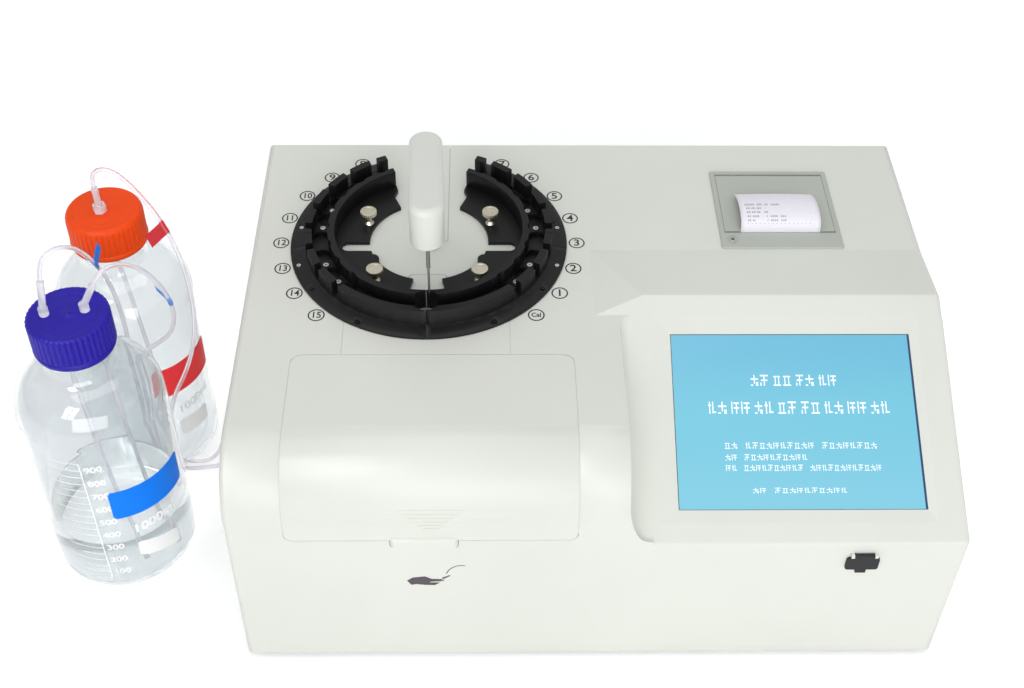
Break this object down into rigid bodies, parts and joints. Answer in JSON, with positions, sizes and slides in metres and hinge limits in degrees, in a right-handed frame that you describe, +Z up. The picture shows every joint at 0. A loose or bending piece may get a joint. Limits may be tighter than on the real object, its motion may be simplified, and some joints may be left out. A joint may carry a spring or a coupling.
{
  "type": "benchtop chemistry analyzer",
  "caption": "White benchtop analyzer with a horseshoe sample rack under a swinging sampling arm, a hatch, a sloping touch screen, a paper printer, and two reagent bottles with tubes.",
  "frame": {"origin": "on the bench under the middle of the case", "axes": "+X to the right seen from the front, +Y to the back, +Z up"},
  "size_m": [0.6257, 0.342, 0.2901],
  "materials": {
    "case_white": "satin",
    "steel_dark": "satin",
    "rubber_black": "matte",
    "panel_grey": "satin",
    "rack_black": "satin",
    "screw_steel": "bright",
    "thumb_nickel": "satin",
    "arm_white": "satin",
    "arm_beige": "satin",
    "needle_steel": "bright",
    "shaft_steel": "bright",
    "aluminium": "satin",
    "belt_black": "matte",
    "motor_black": "satin",
    "brass": "bright",
    "printer_grey": "satin",
    "door_grey": "satin",
    "paper_white": "matte",
    "screen_glass": "gloss",
    "display": "satin",
    "button_green": "gloss",
    "socket_metal": "satin",
    "tub_grey": "satin",
    "electrode": "gloss",
    "stir_white": "gloss",
    "board_green": "satin",
    "supply_metal": "satin",
    "inlet_black": "satin",
    "bottle_glass": "clear",
    "cap_blue": "satin",
    "cap_orange": "satin",
    "fitting_white": "satin",
    "tube_clear": "translucent"
  },
  "bodies": {
    "case": {"housing_shell": "case_white", "base_tray": "steel_dark", "rear_panel": "panel_grey", "rubber_feet": "rubber_black", "deck_insert": "case_white", "arm_rear_plate": "case_white", "port_plate": "case_white", "lid_hinge_pin": "shaft_steel", "chamber_tray": "tub_grey", "reaction_block": "aluminium", "electrodes": "electrode", "pump_body": "inlet_black", "touch_glass": "screen_glass", "lcd_module": "display", "printer_frame": "printer_grey", "usb_socket": "socket_metal", "rack_front_right": "rack_black", "rack_rear_right": "rack_black", "rack_front_left": "rack_black", "rack_rear_left": "rack_black", "rack_plate_right": "rack_black", "rack_plate_left": "rack_black", "rack_screws": "screw_steel", "drive_frame": "aluminium", "drive_motors": "motor_black", "turn_belt": "belt_black", "power_supply": "supply_metal", "main_board": "board_green", "power_inlet": "inlet_black", "hose_fittings": "fitting_white", "cap_fittings": "fitting_white", "buffer_bottle": "bottle_glass", "waste_bottle": "bottle_glass", "buffer_cap": "cap_blue", "waste_cap": "cap_orange", "buffer_tube_left": "tube_clear", "buffer_tube_right": "tube_clear", "waste_tube": "tube_clear"},
    "lid": {"lid": "case_white"},
    "hub": {"turn_hub": "aluminium"},
    "arm": {"arm_cover": "arm_white", "arm_beam": "arm_beige", "needle": "needle_steel", "arm_shaft": "shaft_steel"},
    "motor_pulley_body": {"motor_pulley": "aluminium"},
    "lead_screw_body": {"lead_screw": "shaft_steel"},
    "carriage": {"lift_carriage": "brass"},
    "thumbscrew_1_body": {"thumbscrew_1": "thumb_nickel"},
    "thumbscrew_2_body": {"thumbscrew_2": "thumb_nickel"},
    "thumbscrew_3_body": {"thumbscrew_3": "thumb_nickel"},
    "thumbscrew_4_body": {"thumbscrew_4": "thumb_nickel"},
    "door": {"printer_door": "door_grey", "paper_strip": "paper_white"},
    "platen": {"platen_roller": "rubber_black"},
    "roll": {"paper_roll": "paper_white"},
    "button": {"feed_button": "button_green"},
    "usb_flap": {"usb_cover": "rubber_black"},
    "rotor": {"pump_rotor": "aluminium"},
    "stirrer": {"stir_bar": "stir_white"},
    "rocker": {"power_rocker": "inlet_black"}
  },
  "joints": [
    {"name": "lid_hinge", "type": "hinge", "parent": "case", "child": "lid", "pos_m": [-0.10775, -0.0525, 0.183], "axis": [-1, 0, 0], "range_deg": [0, 75]},
    {"name": "arm_turn", "type": "hinge", "parent": "case", "child": "hub", "pos_m": [-0.113, 0.0523, 0.16], "axis": [0, 0, 1], "range_deg": [-152, 148]},
    {"name": "arm_lift", "type": "slide", "parent": "hub", "child": "arm", "axis": [0, 0, 1], "range_m": [0, 0.05]},
    {"name": "motor_pulley_turn", "type": "hinge", "parent": "case", "child": "motor_pulley_body", "pos_m": [-0.169, 0.0523, 0.16], "axis": [0, 0, 1], "range_deg": [-457, 445]},
    {"name": "lead_screw_turn", "type": "hinge", "parent": "case", "child": "lead_screw_body", "pos_m": [-0.113, 0.0943, 0.1], "axis": [0, 0, 1], "range_deg": [0, 2251]},
    {"name": "carriage_lift", "type": "slide", "parent": "case", "child": "carriage", "axis": [0, 0, 1], "range_m": [0, 0.0501]},
    {"name": "thumbscrew_1_turn", "type": "hinge", "parent": "case", "child": "thumbscrew_1_body", "pos_m": [-0.0695, 0.0713, 0.2], "axis": [0, 0, 1], "continuous": true},
    {"name": "thumbscrew_2_turn", "type": "hinge", "parent": "case", "child": "thumbscrew_2_body", "pos_m": [-0.1565, 0.0713, 0.2], "axis": [0, 0, 1], "continuous": true},
    {"name": "thumbscrew_3_turn", "type": "hinge", "parent": "case", "child": "thumbscrew_3_body", "pos_m": [-0.077, 0.0103, 0.2], "axis": [0, 0, 1], "continuous": true},
    {"name": "thumbscrew_4_turn", "type": "hinge", "parent": "case", "child": "thumbscrew_4_body", "pos_m": [-0.149, 0.0103, 0.2], "axis": [0, 0, 1], "continuous": true},
    {"name": "door_hinge", "type": "hinge", "parent": "case", "child": "door", "pos_m": [0.139, 0.1263, 0.1888], "axis": [-1, 0, 0], "range_deg": [0, 90]},
    {"name": "platen_spin", "type": "hinge", "parent": "door", "child": "platen", "pos_m": [0.139, 0.06705, 0.184], "axis": [1, 0, 0], "continuous": true},
    {"name": "roll_spin", "type": "hinge", "parent": "case", "child": "roll", "pos_m": [0.139, 0.092, 0.163], "axis": [1, 0, 0], "continuous": true},
    {"name": "button_press", "type": "slide", "parent": "case", "child": "button", "axis": [0, 0, -1], "range_m": [0, 0.0008], "stiffness_N_per_m": 300},
    {"name": "usb_flap_hinge", "type": "hinge", "parent": "case", "child": "usb_flap", "pos_m": [0.171, -0.1682, 0.1149], "axis": [-1, 0, 0], "range_deg": [0, 100]},
    {"name": "rotor_turn", "type": "hinge", "parent": "case", "child": "rotor", "pos_m": [-0.165, -0.104, 0.115], "axis": [0, 0, 1], "continuous": true},
    {"name": "stirrer_turn", "type": "hinge", "parent": "case", "child": "stirrer", "pos_m": [-0.105, -0.104, 0.1078], "axis": [0, 0, 1], "continuous": true},
    {"name": "rocker_tilt", "type": "hinge", "parent": "case", "child": "rocker", "pos_m": [0.176, 0.164, 0.04], "axis": [1, 0, 0], "range_deg": [0, 24]}
  ],
  "couplings": [
    {"joint": "motor_pulley_turn", "follows": "arm_turn", "ratio": 3},
    {"joint": "lead_screw_turn", "follows": "arm_lift", "rad_per_m": 785.4},
    {"joint": "carriage_lift", "follows": "arm_lift", "ratio": 1},
    {"joint": "platen_spin", "follows": "roll_spin", "ratio": 4.75}
  ]
}
